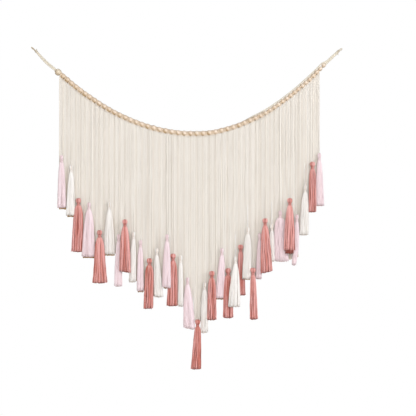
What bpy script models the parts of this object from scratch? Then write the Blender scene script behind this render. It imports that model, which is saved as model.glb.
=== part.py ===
# A macrame wall hanging: a swag of wooden beads on a cord, a string curtain that
# hangs from it and ends in a deep V, and yarn tassels in front of the curtain's end.
# Metres, +Z up, front towards -Y. The origin is midway between the two nail loops.

import math
from collections import namedtuple

import bmesh
import bpy
from mathutils import Vector

MM = 0.001

# Yarn, cord and wood colours, as linear red, green and blue, with a roughness.
Finish = namedtuple("Finish", "color roughness")
FINISHES = {
    "cream": Finish((0.807, 0.752, 0.672), 0.92),
    "cord": Finish((0.871, 0.839, 0.776), 0.90),
    "rose": Finish((0.672, 0.305, 0.270), 0.90),
    "blush": Finish((0.871, 0.723, 0.768), 0.90),
    "white": Finish((0.896, 0.871, 0.839), 0.90),
    "wood": Finish((0.730, 0.552, 0.423), 0.60),
}

# The bead string's centre line, in millimetres from the origin: a smooth curve
# through these points, from the left end to the right.
LinePoint = namedtuple("LinePoint", "across up")
BEAD_LINE = [
    LinePoint(-381, -65), LinePoint(-330, -109), LinePoint(-286, -142),
    LinePoint(-220, -184), LinePoint(-139, -221), LinePoint(-65, -242),
    LinePoint(9, -250), LinePoint(83, -243), LinePoint(157, -221),
    LinePoint(227, -187), LinePoint(290, -144), LinePoint(345, -98),
    LinePoint(400, -46),
]
LINE_STEPS = 24              # straight steps between two points of the line

# Beads, joined into one row with a bore for the cord. The first one is larger. They
# sit a little apart in the middle of the row and touch towards its right end: the
# table gives the step from bead to bead, in millimetres, at some beads' numbers.
BEAD_COUNT = 54
BeadStep = namedtuple("BeadStep", "number step")
BEAD_STEPS = [
    BeadStep(0, 16.0), BeadStep(11, 17.0), BeadStep(21, 18.2), BeadStep(28, 18.2),
    BeadStep(36, 17.0), BeadStep(40, 14.6), BeadStep(54, 14.3),
]
BEAD_RADIUS = 8.0 * MM
FIRST_BEAD_RADIUS = 9.6 * MM
FIRST_BEAD_SHARE = 1.3       # the first bead's length, in ordinary steps
BEAD_WAIST_RADIUS = 4.6 * MM
BEAD_FLAT_SHARE = 0.48       # the part of a bead's length at its full radius
BEAD_SIDES = 8
BORE_RADIUS = 2.9 * MM
CORD_RADIUS = 2.2 * MM
CORD_SIDES = 8
PIECE_GAP = 0.5 * MM

# Ties, in millimetres: the doubled cord from the end bead by way of its bow to a
# knot, with a small loop for a nail and one free end.
Tie = namedtuple("Tie", "bow knot loop tail")
TIES = {
    "tie_left": Tie((-408, -42), (-436, -12), (-444, -5), (-434, -3)),
    "tie_right": Tie((418, -30), (438, -11), (446, -5), (435, -21)),
}
TIE_STRAND_RADIUS = 2.1 * MM
TIE_STRAND_APART = 5.0 * MM
TIE_ENDS_APART = 2.6 * MM
KNOT_RADII = (5.4 * MM, 4.6 * MM, 4.4 * MM)
KNOT_SEGMENTS = (10, 6)
LOOP_RADII = (5.7 * MM, 4.9 * MM)    # to the middle of the loop's cord
LOOP_CORD_RADIUS = 1.3 * MM
LOOP_STEPS = 14
TAIL_RADIUS = 1.5 * MM
TUBE_STEPS = 8

# String curtain: a heading strip under the beads and one tooth of strings behind
# each tassel. A tooth ends just below its tassel's hem. Where the tassel hangs well
# below a neighbour, the tooth narrows there and stays hidden behind the skirt.
CURTAIN_LEFT = -370 * MM
CURTAIN_RIGHT = 384 * MM
STRIP_HEIGHT = 14 * MM
CURTAIN_HALF_DEPTH = 2.8 * MM
SLOT = 1.2 * MM
PAST_HEM = 3 * MM
LOW_TEETH = {"tassel_30": 17 * MM}    # teeth that end further below their tassel's hem
TUCK_DROP = 30 * MM          # below a neighbour's hem, from which a tooth narrows
TUCK_ABOVE = 6 * MM          # above the neighbour's hem, where it starts to narrow
TUCK_RUN = 20 * MM
TUCK_WIDTH_SHARE = 0.5       # of the hem's width
TUCK_SHORT = 14 * MM         # from a narrowed tooth's end down to the hem
LONGEST_WIDTHS = (19 * MM, 10 * MM)
LONGEST_HEIGHTS = (75 * MM, 40 * MM, 12 * MM, -8 * MM)    # from the head's top

# Tassels, one row each from left to right, in millimetres: across from the middle
# and drop from the nails to the head's top, the whole length, how far the hem
# reaches left and right of the head's axis, and how far out in front of the strings'
# middle the tassel hangs on its thread.
Tassel = namedtuple("Tassel", "yarn across drop length left right out")
TASSELS = [
    Tassel("blush", -362, 312, 153, 12, 13, 12),
    Tassel("white", -334, 340, 147, 15, 10, 12),
    Tassel("rose", -313, 436, 156, 21, 11, 12),
    Tassel("blush", -282, 448, 158, 21, 16, 17),
    Tassel("rose", -251, 528, 153, 21, 22, 24),
    Tassel("white", -224, 447, 152, 16, 16, 12),
    Tassel("blush", -197, 540, 151, 13, 10, 12),
    Tassel("rose", -178, 497, 152, 16, 17, 27),
    Tassel("white", -154, 533, 146, 14, 6, 12),
    Tassel("blush", -134, 557, 148, 11, 10, 12),
    Tassel("rose", -108, 609, 146, 18, 11, 20),
    Tassel("white", -87, 580, 142, 7, 19, 12),
    Tassel("blush", -57, 540, 154, 14, 11, 27),
    Tassel("rose", -40, 596, 152, 19, 12, 12),
    Tassel("white", -18, 601, 148, 8, 9, 12),
    Tassel("blush", 2, 664, 149, 12, 22, 19),
    Tassel("rose", 31, 785, 144, 20, 10, 24),
    Tassel("white", 51, 679, 146, 12, 10, 12),
    Tassel("rose", 72, 646, 142, 14, 14, 18),
    Tassel("blush", 101, 580, 146, 19, 8, 12),
    Tassel("rose", 119, 638, 144, 15, 15, 18),
    Tassel("white", 140, 603, 146, 21, 13, 30),
    Tassel("rose", 155, 570, 147, 6, 15, 12),
    Tassel("white", 175, 519, 150, 16, 9, 26),
    Tassel("rose", 190, 636, 149, 10, 14, 31),
    Tassel("blush", 210, 537, 133, 12, 6, 12),
    Tassel("rose", 225, 494, 156, 12, 21, 27),
    Tassel("white", 245, 510, 109, 9, 8, 12),
    Tassel("blush", 269, 472, 147, 15, 25, 12),
    Tassel("rose", 296, 436, 160, 18, 15, 26),
    Tassel("blush", 317, 483, 147, 14, 5, 12),
    Tassel("white", 341, 398, 145, 17, 10, 14),
    Tassel("rose", 362, 331, 146, 11, 11, 17),
    Tassel("blush", 382, 306, 153, 9, 14, 12),
]
TASSEL_SIDES = 10
SMALL_HEAD = [                # depth below the head's top and radius, in millimetres
    (0.0, 2.6), (3.0, 4.8), (9.0, 5.1), (14.5, 4.2), (18.5, 4.0),
]
LARGE_HEAD = [(0.0, 3.4), (3.0, 6.8), (9.5, 7.2), (15.0, 5.2), (18.5, 4.8)]
HEADS = {"rose": LARGE_HEAD, "blush": SMALL_HEAD, "white": SMALL_HEAD}
SKIRT_SHARES = (0.12, 0.34, 0.66, 1.0)
SKIRT_FILL = 2.0             # above 1, the skirt fills out early and then hangs straight
SKIRT_SWAY = 1.3
SKIRT_HALF_DEPTH = 7.2 * MM
THREAD_RADIUS = 1.4 * MM
THREAD_LENGTH = 60 * MM      # from the curtain's face to the head's top
THREAD_SHARES = (0.0, 0.35, 0.7, 0.97)    # where the thread has its sections


def clear_scene():
    for thing in list(bpy.data.objects):
        bpy.data.objects.remove(thing, do_unlink=True)


def make_material(name):
    finish = FINISHES[name]
    material = bpy.data.materials.new(name)
    material.use_nodes = True
    shader = material.node_tree.nodes["Principled BSDF"]
    shader.inputs["Base Color"].default_value = (*finish.color, 1.0)
    shader.inputs["Roughness"].default_value = finish.roughness
    shader.inputs["Metallic"].default_value = 0.0
    return material


def ease(share):
    """Nought to one, starting and ending gently."""
    share = min(max(share, 0.0), 1.0)
    return share * share * (3.0 - 2.0 * share)


def mix(first, second, share):
    return first + (second - first) * share


def add_object(name, mesh, material, place=(0.0, 0.0, 0.0)):
    mesh.materials.clear()
    mesh.materials.append(material)
    part = bpy.data.objects.new(name, mesh)
    part.location = place
    bpy.context.scene.collection.objects.link(part)
    return part


def mesh_from(name, vertices, faces):
    """A closed mesh of these faces, with its normals turned outwards."""
    mesh = bpy.data.meshes.new(name)
    mesh.from_pydata([tuple(vertex) for vertex in vertices], [], faces)
    shape = bmesh.new()
    shape.from_mesh(mesh)
    bmesh.ops.recalc_face_normals(shape, faces=shape.faces)
    shape.to_mesh(mesh)
    shape.free()
    mesh.update()
    return mesh


def skin(rings, closed=False):
    """Faces that join rings of the same number of points, with flat ends if open."""
    count = len(rings[0])
    vertices = [point for ring in rings for point in ring]
    faces = []
    spans = len(rings) if closed else len(rings) - 1
    for index in range(spans):
        here, there = index * count, ((index + 1) % len(rings)) * count
        for side in range(count):
            after = (side + 1) % count
            faces.append((here + side, here + after, there + after, there + side))
    if not closed:
        faces.append(tuple(range(count)))
        faces.append(tuple(range(len(vertices) - count, len(vertices))))
    return vertices, faces


def circle(centre, along, radius, sides):
    """A ring of points round a path that lies in the X-Z plane."""
    across = Vector((-along.z, 0.0, along.x)).normalized()
    depth = Vector((0.0, 1.0, 0.0))
    ring = []
    for side in range(sides):
        angle = 2.0 * math.pi * (side + 0.5) / sides
        ring.append(centre + across * (radius * math.cos(angle)) + depth * (radius * math.sin(angle)))
    return ring


def smooth_path(points, steps):
    """A Catmull-Rom curve through points, as a list of short straight steps."""
    ends = [points[0] * 2 - points[1], *points, points[-1] * 2 - points[-2]]
    path = []
    for index in range(1, len(ends) - 2):
        before, start, end, after = ends[index - 1:index + 3]
        for step in range(steps):
            t = step / steps
            path.append(0.5 * (
                start * 2
                + (end - before) * t
                + (before * 2 - start * 5 + end * 4 - after) * t * t
                + (start * 3 - before - end * 3 + after) * t ** 3
            ))
    path.append(points[-1].copy())
    return path


class BeadLine:
    """The bead string's centre line, read by its arc length or by its place across."""

    def __init__(self):
        points = [Vector((point.across * MM, 0.0, point.up * MM)) for point in BEAD_LINE]
        self.path = smooth_path(points, LINE_STEPS)
        self.arcs = [0.0]
        for start, end in zip(self.path, self.path[1:]):
            self.arcs.append(self.arcs[-1] + (end - start).length)
        self.length = self.arcs[-1]

    def at_arc(self, arc):
        """The point and the direction at this arc length."""
        index = 0
        while index < len(self.arcs) - 2 and self.arcs[index + 1] < arc:
            index += 1
        start, end = self.path[index], self.path[index + 1]
        share = (arc - self.arcs[index]) / (self.arcs[index + 1] - self.arcs[index])
        return start.lerp(end, share), (end - start).normalized()

    def under(self, across, offset):
        """The height at this place of the line moved down square to itself by offset."""
        index = 0
        while index < len(self.path) - 2 and self.path[index + 1].x < across:
            index += 1
        start, end = self.path[index], self.path[index + 1]
        run = end - start
        height = start.z + run.z * (across - start.x) / run.x
        return height - offset * run.length / run.x


def bead_step(number):
    """The step at this bead, read between the table's rows."""
    for low, high in zip(BEAD_STEPS, BEAD_STEPS[1:]):
        if number <= high.number:
            share = (number - low.number) / (high.number - low.number)
            return mix(low.step, high.step, share)
    return BEAD_STEPS[-1].step


def bead_joints(line):
    """Arc lengths of the narrow places before, between and after the beads."""
    steps = [bead_step(number) for number in range(BEAD_COUNT)]
    steps[0] *= FIRST_BEAD_SHARE
    fit = line.length / sum(steps)
    joints = [0.0]
    for step in steps:
        joints.append(joints[-1] + step * fit)
    return joints


def make_bead_row(line, joints, material):
    """All the beads as one turned row, with the cord's bore running through it."""
    outer = []
    bore = []
    for index, joint in enumerate(joints):
        point, along = line.at_arc(joint)
        outer.append(circle(point, along, BEAD_WAIST_RADIUS, BEAD_SIDES))
        bore.append(circle(point, along, BORE_RADIUS, BEAD_SIDES))
        if index == BEAD_COUNT:
            break
        length = joints[index + 1] - joint
        radius = FIRST_BEAD_RADIUS if index == 0 else BEAD_RADIUS
        for share in (0.5 - BEAD_FLAT_SHARE / 2, 0.5 + BEAD_FLAT_SHARE / 2):
            point, along = line.at_arc(joint + length * share)
            outer.append(circle(point, along, radius, BEAD_SIDES))
    rings = outer + bore[::-1]
    vertices, faces = skin(rings, closed=True)
    return add_object("bead_row", mesh_from("bead_row", vertices, faces), material)


def make_bead_cord(line, joints, material):
    """The cord inside the beads, with the same steps as their bore."""
    rings = []
    for joint in joints:
        point, along = line.at_arc(joint)
        rings.append(circle(point, along, CORD_RADIUS, CORD_SIDES))
    vertices, faces = skin(rings)
    return add_object("bead_cord", mesh_from("bead_cord", vertices, faces), material)


def tube(points, radius, sides=CORD_SIDES, closed=False):
    """A round tube along points in the X-Z plane."""
    rings = []
    for index, point in enumerate(points):
        if closed:
            along = points[(index + 1) % len(points)] - points[index - 1]
        else:
            along = points[min(index + 1, len(points) - 1)] - points[max(index - 1, 0)]
        rings.append(circle(point, along.normalized(), radius, sides))
    vertices, faces = skin(rings, closed)
    return mesh_from("tube", vertices, faces)


def knot_lump(centre, along):
    """A rounded knot, longest along the cord."""
    shape = bmesh.new()
    segments, rings = KNOT_SEGMENTS
    bmesh.ops.create_uvsphere(shape, u_segments=segments, v_segments=rings, radius=1.0)
    across = Vector((-along.z, 0.0, along.x))
    for vertex in shape.verts:
        x, y, z = vertex.co
        vertex.co = (
            centre + along * (z * KNOT_RADII[0]) + across * (x * KNOT_RADII[1])
            + Vector((0.0, y * KNOT_RADII[2], 0.0))
        )
    mesh = bpy.data.meshes.new("knot")
    shape.to_mesh(mesh)
    shape.free()
    return mesh


def union(name, meshes, material):
    """One body from overlapping meshes."""
    base = add_object(name, meshes[0], material)
    others = [add_object("joined", mesh, material) for mesh in meshes[1:]]
    for other in others:
        joiner = base.modifiers.new("join", "BOOLEAN")
        joiner.operation = "UNION"
        joiner.solver = "EXACT"
        joiner.object = other
    evaluated = base.evaluated_get(bpy.context.evaluated_depsgraph_get())
    mesh = bpy.data.meshes.new_from_object(evaluated)
    for thing in (base, *others):
        bpy.data.objects.remove(thing, do_unlink=True)
    return add_object(name, mesh, material)


def flat_point(place):
    return Vector((place[0] * MM, 0.0, place[1] * MM))


def make_tie(name, tie, start, material):
    """Two cords side by side from the end bead to a knot, a nail loop and a free end."""
    bow, knot, loop, tail = (flat_point(place) for place in tie)
    start = start + (bow - start).normalized() * PIECE_GAP
    along = (knot - start).normalized()
    across = Vector((-along.z, 0.0, along.x))
    meshes = [knot_lump(knot, along)]
    for side in (-0.5, 0.5):
        ends = across * (TIE_ENDS_APART * side)
        middle = across * (TIE_STRAND_APART * side)
        route = smooth_path([start + ends, bow + middle, knot + ends], TUBE_STEPS)
        meshes.append(tube(route, TIE_STRAND_RADIUS))
    outwards = (loop - knot).normalized()
    beside = Vector((-outwards.z, 0.0, outwards.x))
    ring = []
    for step in range(LOOP_STEPS):
        angle = 2.0 * math.pi * step / LOOP_STEPS
        ring.append(
            loop + outwards * (LOOP_RADII[0] * math.cos(angle)) + beside * (LOOP_RADII[1] * math.sin(angle))
        )
    meshes.append(tube(ring, LOOP_CORD_RADIUS, closed=True))
    meshes.append(tube([knot, knot.lerp(tail, 0.5), tail], TAIL_RADIUS))
    return union(name, meshes, material)


def tassel_name(index):
    return f"tassel_{index + 1:02d}"


def hem_height(tassel):
    return -(tassel.drop + tassel.length) * MM


def tooth_edges():
    """Where each tassel's column of strings starts and ends, across."""
    middles = [
        (left.across + right.across) * MM / 2 for left, right in zip(TASSELS, TASSELS[1:])
    ]
    return [CURTAIN_LEFT, *middles, CURTAIN_RIGHT]


def longest_tooth(tassel, left, right):
    """The longest tassel's strings draw together above its head and end behind it."""
    across, top = tassel.across * MM, -tassel.drop * MM
    wide, narrow = (width / 2 for width in LONGEST_WIDTHS)
    heights = [top + height for height in LONGEST_HEIGHTS]
    return [
        (heights[0], left, right),
        (heights[1], across - wide, across + wide),
        (heights[2], across - wide, across + wide),
        (heights[3], across - narrow, across + narrow),
    ]


def tooth_sections(index, left, right):
    """Heights below the heading strip, each with the tooth's left and right edge there."""
    tassel = TASSELS[index]
    if tassel is max(TASSELS, key=lambda other: other.drop):
        return longest_tooth(tassel, left, right)
    hem = hem_height(tassel)
    level = max(hem_height(near) for near in TASSELS[max(index - 1, 0):index + 2])
    if level - hem < TUCK_DROP:
        return [(hem - LOW_TEETH.get(tassel_name(index), PAST_HEM), left, right)]
    tuck = level + TUCK_ABOVE
    middle = (tassel.across + (tassel.right - tassel.left) / 4) * MM
    half = (tassel.right + tassel.left) * MM / 2 * TUCK_WIDTH_SHARE
    low_left, low_right = max(left, middle - half), min(right, middle + half)
    return [
        (tuck, left, right),
        (tuck - TUCK_RUN, low_left, low_right),
        (min(hem + TUCK_SHORT, tuck - TUCK_RUN * 1.5), low_left, low_right),
    ]


def make_string_curtain(line, material):
    """The curtain as one comb: its strip follows the beads, its teeth hang behind the tassels."""
    points = []
    quads = []

    def add_pair(left, right, left_up, right_up):
        points.append((left, left_up))
        points.append((right, right_up))
        return len(points) - 2, len(points) - 1

    edges = tooth_edges()
    top_offset = BEAD_RADIUS + PIECE_GAP
    previous = None
    for index, (start, end) in enumerate(zip(edges, edges[1:])):
        left, right = start + SLOT / 2, end - SLOT / 2
        tops = [line.under(place, top_offset) for place in (left, right)]
        upper = add_pair(left, right, *tops)
        lower = add_pair(left, right, *(top - STRIP_HEIGHT for top in tops))
        quads.append((upper[0], upper[1], lower[1], lower[0]))
        if previous:
            quads.append((previous[0], upper[0], lower[0], previous[1]))
        previous = (upper[1], lower[1])
        above = lower
        for height, low_left, low_right in tooth_sections(index, left, right):
            pair = add_pair(low_left, low_right, height, height)
            quads.append((above[0], above[1], pair[1], pair[0]))
            above = pair
    return add_object("string_curtain", thickened("string_curtain", points, quads), material)


def thickened(name, points, quads):
    """A flat sheet of quads given a front and a back, with its rim closed."""
    count = len(points)
    vertices = [(x, -CURTAIN_HALF_DEPTH, z) for x, z in points]
    vertices += [(x, CURTAIN_HALF_DEPTH, z) for x, z in points]
    faces = []
    rim = {}
    for quad in quads:
        faces.append(quad)
        faces.append(tuple(corner + count for corner in reversed(quad)))
        for start, end in zip(quad, quad[1:] + quad[:1]):
            if (end, start) in rim:
                del rim[(end, start)]
            else:
                rim[(start, end)] = True
    for start, end in rim:
        faces.append((end, start, start + count, end + count))
    return mesh_from(name, vertices, faces)


def make_tassel(index, tassel, material):
    """A thread from the curtain's face, a round head, a bound neck and a flat flaring skirt."""
    place = Vector((tassel.across * MM, -tassel.out * MM, -tassel.drop * MM))
    thread_start = -CURTAIN_HALF_DEPTH - PIECE_GAP - THREAD_RADIUS - place.y
    rings = []

    def add_ring(centre_x, centre_y, up, half_width, half_depth):
        ring = []
        for side in range(TASSEL_SIDES):
            angle = 2.0 * math.pi * side / TASSEL_SIDES
            ring.append((
                centre_x + half_width * math.cos(angle),
                centre_y + half_depth * math.sin(angle),
                up,
            ))
        rings.append(ring)

    for share in THREAD_SHARES:
        forward = thread_start * (1.0 - ease(share))
        add_ring(0.0, forward, THREAD_LENGTH * (1.0 - share), THREAD_RADIUS, THREAD_RADIUS)
    head = HEADS[tassel.yarn]
    for depth, radius in head:
        add_ring(0.0, 0.0, -depth * MM, radius * MM, radius * MM)
    neck_drop, neck_radius = (value * MM for value in head[-1])
    skirt_length = tassel.length * MM - neck_drop
    hem_centre = (tassel.right - tassel.left) * MM / 2
    hem_half = (tassel.right + tassel.left) * MM / 2
    for share in SKIRT_SHARES:
        flare = 1.0 - (1.0 - share) ** SKIRT_FILL
        add_ring(
            hem_centre * share ** SKIRT_SWAY,
            0.0,
            -neck_drop - skirt_length * share,
            mix(neck_radius, hem_half, flare),
            mix(neck_radius, SKIRT_HALF_DEPTH, flare),
        )
    vertices, faces = skin(rings)
    name = tassel_name(index)
    return add_object(name, mesh_from(name, vertices, faces), material, place)


def main():
    clear_scene()
    materials = {name: make_material(name) for name in FINISHES}
    line = BeadLine()
    joints = bead_joints(line)
    make_bead_row(line, joints, materials["wood"])
    make_bead_cord(line, joints, materials["cord"])
    for (name, tie), end in zip(TIES.items(), (line.path[0], line.path[-1])):
        make_tie(name, tie, end, materials["cord"])
    make_string_curtain(line, materials["cream"])
    for index, tassel in enumerate(TASSELS):
        make_tassel(index, tassel, materials[tassel.yarn])
    parts = list(bpy.context.scene.collection.objects)
    hanging = bpy.data.objects.new("wall_hanging", None)
    bpy.context.scene.collection.objects.link(hanging)
    for part in parts:
        part.parent = hanging


main()
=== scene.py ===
import math

import bpy
import numpy as np
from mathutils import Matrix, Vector


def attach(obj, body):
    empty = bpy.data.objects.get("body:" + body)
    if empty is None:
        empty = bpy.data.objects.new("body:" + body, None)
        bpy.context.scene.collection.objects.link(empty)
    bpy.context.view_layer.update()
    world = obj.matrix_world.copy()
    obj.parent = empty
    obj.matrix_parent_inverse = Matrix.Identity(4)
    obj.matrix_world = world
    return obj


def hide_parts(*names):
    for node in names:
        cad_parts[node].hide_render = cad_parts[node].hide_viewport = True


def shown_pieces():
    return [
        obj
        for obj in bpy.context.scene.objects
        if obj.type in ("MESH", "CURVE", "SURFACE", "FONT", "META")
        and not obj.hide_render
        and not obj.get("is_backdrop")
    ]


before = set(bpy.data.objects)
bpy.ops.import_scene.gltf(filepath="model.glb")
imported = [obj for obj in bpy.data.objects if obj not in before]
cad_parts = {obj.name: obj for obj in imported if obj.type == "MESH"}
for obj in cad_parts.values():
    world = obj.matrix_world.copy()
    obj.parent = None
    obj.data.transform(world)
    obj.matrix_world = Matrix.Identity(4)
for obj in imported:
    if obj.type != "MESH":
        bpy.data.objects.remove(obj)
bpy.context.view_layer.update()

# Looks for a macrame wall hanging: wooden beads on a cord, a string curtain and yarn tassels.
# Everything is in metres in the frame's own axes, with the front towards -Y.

mm = 0.001
dice = np.random.default_rng(57)
scene = bpy.context.scene

# the camera, the lamps, the room and the floor
studio = {
    "cameraAt": (0.0608, -4.0, -0.4645),
    "pictureWidth": 1.2039,          # what the picture spans where the strings hang
    "sensor": 36.0,
    "keyTowards": (0.70, -0.68, 0.24),   # each lamp's direction, seen from the middle of the curtain
    "keyAway": 8.0,
    "keySize": 3.2,
    "keyPower": 178.0,
    "keyColour": (0.95, 0.985, 1.03),
    "fillTowards": (0.05, -0.97, 0.22),
    "fillAway": 6.0,
    "fillSize": 4.0,
    "fillPower": 272.0,
    "backTowards": (-0.35, 0.9, 0.25),
    "backAway": 6.0,
    "backSize": 4.0,
    "backPower": 150.0,
    "middle": (0.007, 0.0, -0.42),
    "roomColour": (1.0, 0.973, 0.935),
    "roomLight": 0.26,
    "floorAt": -1.30,
    "floorReach": (-4.5, 4.5, -7.0, 1.45),   # left, right, front and back edges
    "floorColour": (0.86, 0.85, 0.83),
}


def newNode(tree, kind, settings=None, **sockets):
    node = tree.nodes.new(kind)
    for key, value in (settings or {}).items():
        setattr(node, key, value)
    for key, value in sockets.items():
        socket = node.inputs[key.replace("_", " ")]
        if isinstance(value, bpy.types.NodeSocket):
            tree.links.new(value, socket)
        else:
            socket.default_value = value
    return node


def aimedLamp(name, towards, away, size, power, colour):
    lamp = bpy.data.lights.new(name, "AREA")
    lamp.shape = "DISK"
    lamp.size = size
    lamp.energy = power
    lamp.color = colour
    holder = bpy.data.objects.new(name, lamp)
    direction = Vector(towards).normalized()
    holder.location = Vector(studio["middle"]) + direction * away
    holder.rotation_euler = direction.to_track_quat("Z", "Y").to_euler()
    scene.collection.objects.link(holder)


def makeStudio():
    lens = bpy.data.cameras.new("camera")
    lens.sensor_width = studio["sensor"]
    lens.lens = studio["sensor"] * -studio["cameraAt"][1] / studio["pictureWidth"]
    camera = bpy.data.objects.new("camera", lens)
    camera.location = studio["cameraAt"]
    camera.rotation_euler = (math.radians(90), 0.0, 0.0)
    scene.collection.objects.link(camera)
    scene.camera = camera
    scene.view_settings.view_transform = "Standard"

    for name, colour in (("key", studio["keyColour"]), ("fill", studio["roomColour"]),
                         ("back", studio["roomColour"])):
        aimedLamp(name, studio[name + "Towards"], studio[name + "Away"], studio[name + "Size"],
                  studio[name + "Power"], colour)

    # the room: soft warm light all round, and plain white behind the hanging
    world = bpy.data.worlds.new("room")
    world.use_nodes = True
    tree = world.node_tree
    tree.nodes.clear()
    seen = newNode(tree, "ShaderNodeLightPath")
    white = newNode(tree, "ShaderNodeBackground", Color=(1, 1, 1, 1), Strength=1.0)
    soft = newNode(tree, "ShaderNodeBackground", Color=(*studio["roomColour"], 1),
                   Strength=studio["roomLight"])
    both = newNode(tree, "ShaderNodeMixShader", Fac=seen.outputs["Is Camera Ray"])
    tree.links.new(soft.outputs[0], both.inputs[1])
    tree.links.new(white.outputs[0], both.inputs[2])
    newNode(tree, "ShaderNodeOutputWorld", Surface=both.outputs[0])
    scene.world = world

    left, right, front, back = studio["floorReach"]
    up = studio["floorAt"]
    sheet = bpy.data.meshes.new("floor")
    sheet.from_pydata([(left, front, up), (right, front, up), (right, back, up), (left, back, up)],
                      [], [(0, 1, 2, 3)])
    paint = bpy.data.materials.new("floor paint")
    paint.use_nodes = True
    tree = paint.node_tree
    shader = tree.nodes["Principled BSDF"]
    place = newNode(tree, "ShaderNodeTexCoord")
    mottle = newNode(tree, "ShaderNodeTexNoise", Vector=place.outputs["Object"], Scale=2.5, Detail=6.0)
    tint = newNode(tree, "ShaderNodeMix", {"data_type": "RGBA"}, Factor=mottle.outputs["Fac"])
    tint.inputs[6].default_value = (*(c * 0.97 for c in studio["floorColour"]), 1)
    tint.inputs[7].default_value = (*studio["floorColour"], 1)
    tree.links.new(tint.outputs[2], shader.inputs["Base Color"])
    shader.inputs["Roughness"].default_value = 0.75
    sheet.materials.append(paint)
    floor = bpy.data.objects.new("floor", sheet)
    scene.collection.objects.link(floor)
    floor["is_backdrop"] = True


makeStudio()
print("camera, lights and floor are in place")


# Cotton and yarn: two colours to wander between, the painted shade colour (deep) that the shade attribute
# mixes in, the twist with its pitch in millimetres, and how strong and how long the blotches or streaks are.
cottons = {
    "cream": {"slot": "cream_string", "light": (0.81, 0.785, 0.75), "dark": (0.69, 0.65, 0.60),
              "deep": (0.48, 0.28, 0.09), "plies": 3, "pitch": 5.0,
              "bump": 0.45, "rough": 0.92, "sheen": 0.1, "blotch": 0.3, "streaks": (22.0, 22.0, 22.0)},
    "cord": {"slot": "hanging_cord", "light": (0.71, 0.67, 0.59), "dark": (0.59, 0.54, 0.445),
             "deep": (0.34, 0.25, 0.15), "plies": 3, "pitch": 4.0,
             "bump": 0.5, "rough": 0.9, "sheen": 0.1, "blotch": 0.4, "streaks": (22.0, 22.0, 22.0)},
    "rose": {"slot": "rose_yarn", "light": (0.805, 0.455, 0.445), "dark": (0.48, 0.125, 0.085),
             "deep": (0.25, 0.05, 0.035), "plies": 2, "pitch": 4.5,
             "bump": 0.5, "rough": 0.85, "sheen": 0.2, "blotch": 1.5, "streaks": (150.0, 150.0, 16.0)},
    "blush": {"slot": "blush_yarn", "light": (0.82, 0.715, 0.77), "dark": (0.71, 0.56, 0.59),
              "deep": (0.50, 0.30, 0.28), "plies": 2, "pitch": 4.5,
              "bump": 0.5, "rough": 0.85, "sheen": 0.15, "blotch": 0.8, "streaks": (150.0, 150.0, 16.0)},
    "white": {"slot": "white_yarn", "light": (0.82, 0.81, 0.81), "dark": (0.71, 0.68, 0.65),
              "deep": (0.55, 0.41, 0.29), "plies": 2, "pitch": 4.5,
              "bump": 0.5, "rough": 0.85, "sheen": 0.15, "blotch": 0.8, "streaks": (150.0, 150.0, 16.0)},
}


def mathNode(tree, operation, first, second=0.0, third=0.0):
    node = tree.nodes.new("ShaderNodeMath")
    node.operation = operation
    for socket, value in zip(node.inputs, (first, second, third)):
        if isinstance(value, bpy.types.NodeSocket):
            tree.links.new(value, socket)
        else:
            socket.default_value = value
    return node.outputs[0]


def mixColours(tree, share, first, second):
    node = tree.nodes.new("ShaderNodeMix")
    node.data_type = "RGBA"
    for socket, value in ((node.inputs[0], share), (node.inputs[6], first), (node.inputs[7], second)):
        if isinstance(value, bpy.types.NodeSocket):
            tree.links.new(value, socket)
        elif isinstance(value, tuple):
            socket.default_value = (*value, 1.0)
        else:
            socket.default_value = value
    return node.outputs[2]


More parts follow.
